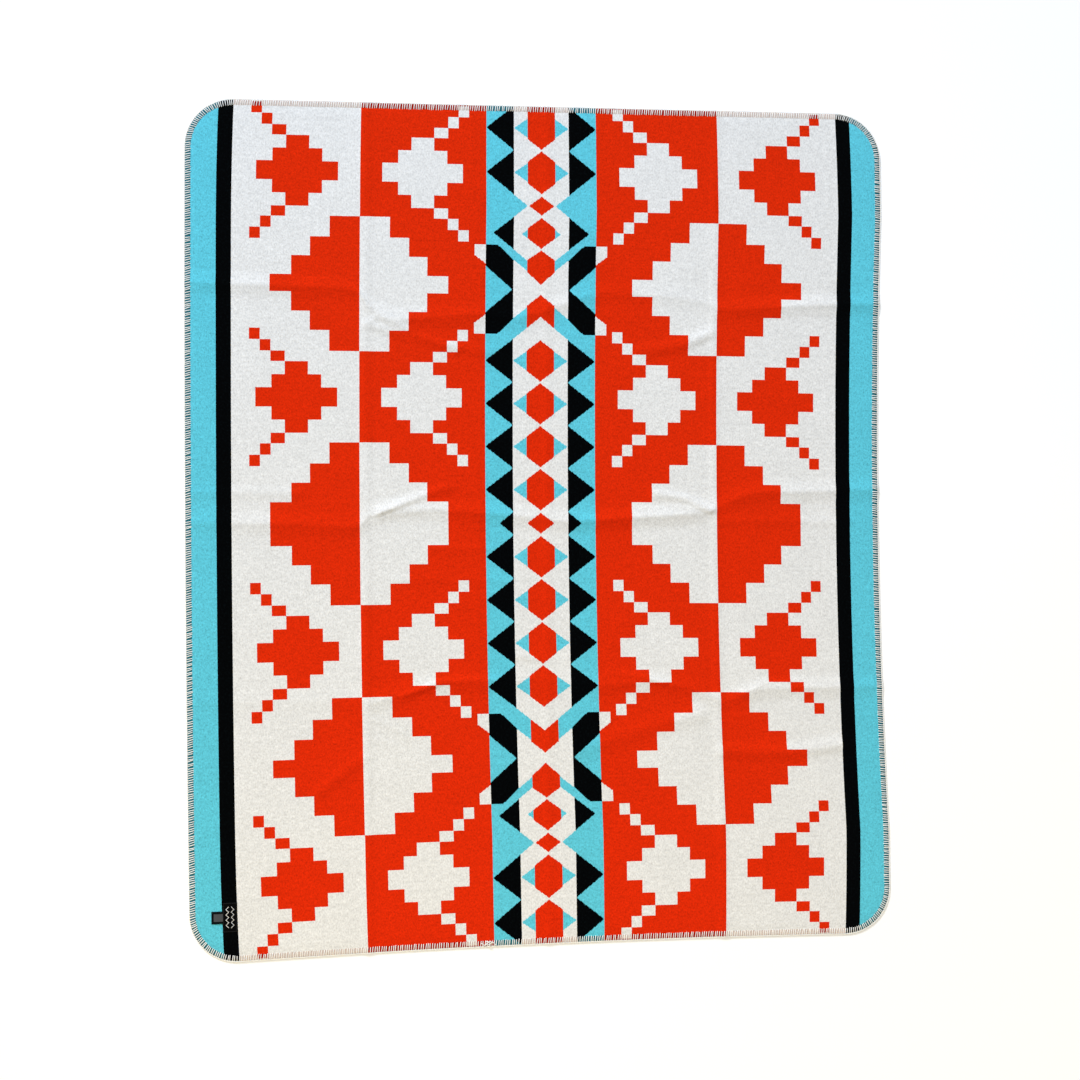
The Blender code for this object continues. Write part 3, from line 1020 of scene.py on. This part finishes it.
REPEAT_TOOTH = (REPEAT / 2, -REPEAT / 2 / BAND_INNER)

# Stepped diamonds: the half height in rows of each half width in cells
Step = namedtuple("Step", "half_width half_height")
BIG_STEPS = [Step(34, 78), Step(56, 54), Step(77, 32), Step(101, 10)]
BIG_CENTRE = 276
MIDDLE_STRETCH = 15
SMALL_STEPS = [Step(13, 41), Step(28, 26), Step(46, 11)]
SMALL_CENTRES = (145, 406)
SMALL_OUT = 71
Square = namedtuple("Square", "out_from out_to up_from up_to")
STAIR = [Square(13, 29, 41, 53), Square(29, 41, 53, 66), Square(41, 53, 66, 79)]


def chart_number(g, across, up):
    """The number of the yarn at a point of the flat blanket, by the chart."""

    def within(value, centre, half):
        return g.math("COMPARE", value, centre, half)

    def below(value, limit):
        return g.math("LESS_THAN", value, limit)

    def both(a, b):
        return g.math("MULTIPLY", a, b)

    def between(value, low, high):
        return within(value, (low + high) / 2, (high - low) / 2)

    def sloped(base, start, slope):
        """A number that changes evenly across, from its start at a base line."""
        return start if slope == 0 else g.math("MULTIPLY_ADD", across, slope, start - slope * base)

    def wedge(w):
        return within(up, sloped(w.base, w.centre, w.rise), sloped(w.base, w.half, w.spread))

    def any_of(masks):
        total = masks[0]
        for mask in masks[1:]:
            total = g.math("MAXIMUM", total, mask)
        return total

    def stepped(aside, lengthwise, steps):
        return any_of([both(below(aside, s.half_width), below(lengthwise, s.half_height)) for s in steps])

    in_repeats = both(g.math("GREATER_THAN", up, FIRST_TIP), below(up, LAST_TIP))
    cycle = g.math("FLOORED_MODULO", g.math("SUBTRACT", up, FIRST_TIP), REPEAT)
    from_bead = g.away(cycle, REPEAT / 2)

    def zone(wedges, base, repeat):
        """Where a zone's second yarn shows: in its own wedges, and in one that repeats."""
        repeated = both(in_repeats, below(from_bead, sloped(base, *repeat)))
        return any_of([wedge(w) for w in wedges] + [repeated])

    spine = g.mix(zone(SPINE_BEADS, 0, REPEAT_BEAD), CREAM, RED)
    flank = g.mix(zone(FLANK_WEDGES, SPINE, REPEAT_FLANK), CREAM, TEAL)
    arms = g.math("SUBTRACT", both(wedge(X_ARM), wedge(X_REACH)), wedge(X_NOTCH))
    sawteeth = g.mix(any_of([zone(BAND_TEETH, BAND_INNER, REPEAT_TOOTH), arms]), TEAL, BLACK)

    from_axis = g.away(across, AXIS)
    from_big = g.math("MINIMUM", g.away(up, BIG_CENTRE), g.math("SUBTRACT", up, MIDDLE_STRETCH))
    big = stepped(from_axis, from_big, BIG_STEPS)
    from_small = g.math("MINIMUM", *[g.away(up, centre) for centre in SMALL_CENTRES])
    out_small = g.math("SUBTRACT", from_axis, SMALL_OUT)
    small = stepped(g.math("ABSOLUTE", out_small), from_small, SMALL_STEPS)
    stair = any_of([both(between(out_small, s.out_from, s.out_to), between(from_small, s.up_from, s.up_to))
                    for s in STAIR])
    flags = both(both(wedge(X_REACH), below(across, FLAG_END)), g.math("SUBTRACT", 1.0, wedge(FLAG_POINT)))
    field = g.away(below(across, AXIS), any_of([big, small, stair, flags]))

    number = g.mix(below(across, BORDER), TEAL, BLACK)
    number = g.mix(below(across, STRIPE), number, field)
    number = g.mix(below(across, BAND), number, sawteeth)
    number = g.mix(below(across, BAND_INNER), number, flank)
    return g.mix(below(across, SPINE), number, spine)


def yarn_colour(g, number, face):
    """The colour of a yarn's number on one face of the cloth."""
    node = g.add("ShaderNodeValToRGB")
    ramp = node.color_ramp
    ramp.interpolation = "CONSTANT"
    for n, yarn in enumerate(YARNS):
        stop = ramp.elements[0] if n == 0 else ramp.elements.new(n / len(YARNS))
        stop.color = getattr(yarn, face)
    ramp.elements.remove(ramp.elements[-1])
    g.feed(node.inputs[0], g.math("MULTIPLY_ADD", number, 1 / len(YARNS), 0.5 / len(YARNS)))
    return node.outputs[0]


def cloth_material():
    g = Graph("brushed_weave")
    chart = g.add("ShaderNodeAttribute", attribute_name="chart").outputs["Vector"]
    back = g.add("ShaderNodeAttribute", attribute_name="back").outputs["Fac"]
    across, up, rim = g.parts(chart)
    flat = g.add("ShaderNodeCombineXYZ", {"X": across, "Y": up}).outputs[0]

    def counted(value, size, seed):
        """Which cell or row a point is in, from its middle, with the brushed yarn strayed over the edges."""
        shifted = g.add("ShaderNodeVectorMath", {0: flat, 1: (seed, seed, 0.0)}, operation="ADD").outputs[0]
        stray = g.math("MULTIPLY_ADD", g.grain(shifted, STRAY), STRAY.swing, -STRAY.swing / 2)
        number = g.math("FLOOR", g.math("DIVIDE", g.math("ADD", value, stray), size))
        return g.math("ABSOLUTE", g.math("ADD", number, 0.5))

    number = chart_number(g, counted(across, CELL, 0.0), counted(up, ROW, ROW_SEED))
    # Painted shade: within the stitched rim the yarn takes its darker gap colour, standing in for the shade
    # between the edge stitches' legs
    strayed = g.math("MULTIPLY_ADD", g.grain(flat, RIM_SHADE_STRAY), RIM_SHADE_STRAY.swing, rim)
    in_painted_gap_shade = g.math("LESS_THAN", strayed, RIM / MM + RIM_SHADE_PAST)
    flecks = g.math("MULTIPLY_ADD", g.grain(flat, FLECKS), FLECKS.swing, -FLECKS.swing / 2)
    flecks = g.math("MAXIMUM", flecks, 0.0)
    colour = g.blend(flecks, yarn_colour(g, number, "face"), yarn_colour(g, number, "fleck"))
    colour = g.blend(in_painted_gap_shade, colour, yarn_colour(g, number, "gap"))
    colour = g.blend(g.math("GREATER_THAN", back, 0.5), colour, yarn_colour(g, number, "reverse"))
    kinds = (TUFTS, CLUMPS, CLOUDS, HAIRS)
    tufts, clumps, clouds, hairs = [g.grain(flat, kind) for kind in kinds]
    shade = 1.0
    for kind, grain in zip(kinds, (tufts, clumps, clouds, hairs)):
        shade = g.math("MULTIPLY", shade, g.math("MULTIPLY_ADD", grain, kind.swing, 1 - kind.swing / 2))
    g.bump(g.math("MULTIPLY_ADD", tufts, TUFT_SHARE, g.math("MULTIPLY", hairs, 1 - TUFT_SHARE)), PILE_DEPTH)
    colour = g.blend(1.0, colour, shade, "MULTIPLY")
    return g.surface(colour, roughness=1.0, specular=0.02, sheen=0.005, sheen_roughness=0.6)


def thread_material():
    g = Graph("overlock_thread")
    strands = g.noise(g.spot(), STRAND_SCALE)
    g.bump(strands, STRAND_DEPTH)
    return g.surface(g.blend(strands, srgb(246, 245, 240), srgb(255, 255, 252)), roughness=0.8, sheen=0.10)


def label_material():
    """Black woven tape with two columns of white zigzag, both woven in."""
    g = Graph("woven_label")
    spot = g.spot()
    x, y, _ = g.parts(spot)
    across, up = g.math("SNAP", x, LABEL_CELL), g.math("SNAP", y, LABEL_CELL)
    swing = g.math("SUBTRACT", g.math("PINGPONG", up, ZIGZAG_SWING), ZIGZAG_SWING / 2)
    from_column = g.math("SUBTRACT", g.away(across, ZIGZAG_MIDDLE), ZIGZAG_APART / 2)
    line = g.math("COMPARE", from_column, swing, ZIGZAG_LINE / 2)
    line = g.math("MULTIPLY", line, g.math("LESS_THAN", g.math("ABSOLUTE", up), ZIGZAG_END))
    ribs = g.ribs(spot, LABEL_RIBS, 0.4, "Y")
    ground = g.blend(ribs, srgb(3, 3, 4), srgb(9, 9, 11))
    g.bump(g.math("MULTIPLY_ADD", line, LINE_SHARE, g.math("MULTIPLY", ribs, 1 - LINE_SHARE)), LABEL_DEPTH)
    return g.surface(g.blend(line, ground, srgb(226, 227, 226)), roughness=0.8, specular=0.04)


def tag_material():
    """Dark satin tape, darker along its woven edges."""
    g = Graph("satin_tag")
    spot = g.spot()
    x, y, _ = g.parts(spot)
    within_sides = g.math("LESS_THAN", g.math("ABSOLUTE", y), TAG_WIDTH / 2 - TAG_EDGE)
    in_panel = g.math("MULTIPLY", within_sides, g.math("GREATER_THAN", x, TAG_EDGE))
    ribs = g.ribs(spot, TAG_RIBS, 0.3, "X")
    g.bump(ribs, TAG_DEPTH)
    panel = g.blend(ribs, srgb(66, 68, 72), srgb(86, 88, 92))
    return g.surface(g.blend(in_panel, srgb(4, 10, 14), panel), roughness=0.6, specular=0.06)


def dark_thread_material():
    g = Graph("label_thread")
    strands = g.noise(g.spot(), STRAND_SCALE)
    return g.surface(g.blend(strands, srgb(5, 5, 6), srgb(15, 15, 17)), roughness=0.7)


def floor_material():
    g = Graph("pale_floor")
    speck = g.noise(g.spot(), FLOOR_SPECK_SCALE)
    shade = g.math("MULTIPLY_ADD", speck, FLOOR_SPECK, FLOOR_SHADE)
    grey = g.add("ShaderNodeCombineColor", {0: shade, 1: shade, 2: shade}).outputs[0]
    return g.surface(grey, roughness=0.9, specular=0.1, glow_colour=(1.0, 1.0, 1.0, 1.0), glow=FLOOR_GLOW)


def camera():
    data = bpy.data.cameras.new("camera")
    data.lens = CAMERA_LENS
    data.sensor_width = CAMERA_SENSOR
    obj = bpy.data.objects.new("camera", data)
    obj.location = Vector(CAMERA_PLACE) - MIDDLE.to_3d()
    obj.rotation_euler = [math.radians(angle) for angle in CAMERA_TURN]
    bpy.context.scene.collection.objects.link(obj)
    bpy.context.scene.camera = obj


def aim_light(data, spot):
    """Put a light at a spot, looking at the middle of the blanket."""
    obj = bpy.data.objects.new(data.name, data)
    obj.location = spot
    obj.rotation_euler = Vector(spot).to_track_quat("Z", "Y").to_euler()
    bpy.context.scene.collection.objects.link(obj)


def studio():
    """The pale floor, the even surround, the soft key light and the two wide lamps."""
    bpy.ops.mesh.primitive_plane_add(size=FLOOR_SIZE, location=(0, 0, -FLOOR_DROP))
    floor = bpy.context.object
    floor.name = "floor"
    floor.data.materials.append(floor_material())
    world = bpy.data.worlds.new("surround")
    world.use_nodes = True
    background = world.node_tree.nodes["Background"]
    background.inputs["Color"].default_value = SURROUND_COLOUR
    background.inputs["Strength"].default_value = SURROUND_STRENGTH
    bpy.context.scene.world = world
    key = bpy.data.lights.new("key", "SUN")
    key.energy = KEY_STRENGTH
    key.angle = math.radians(KEY_SPREAD)
    aim_light(key, KEY_FROM)
    for lamp in LAMPS:
        data = bpy.data.lights.new(lamp.name, "AREA")
        data.shape = "DISK"
        data.size = lamp.size
        data.energy = lamp.power
        data.color = lamp.colour
        aim_light(data, lamp.spot)
    bpy.context.scene.view_settings.view_transform = "Standard"
    return floor


camera()
floor = studio()
runs = edge_runs()
places = stitch_places(runs)
sheet = cloth(cloth_material())
thread = thread_material()
legs = edge_legs(runs, places, thread)
chain = edge_chain(runs, places, thread)
knot = thread_knot(thread)
label = sewn_label(label_material())
stitches = label_stitches(dark_thread_material())
tag = care_tag(tag_material())

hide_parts("blanket_cloth")
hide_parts("edge_stitch")
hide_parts("sewn_label")
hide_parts("care_tag")
for piece in (sheet, legs, chain, knot, label, stitches, tag):
    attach(piece, "root")
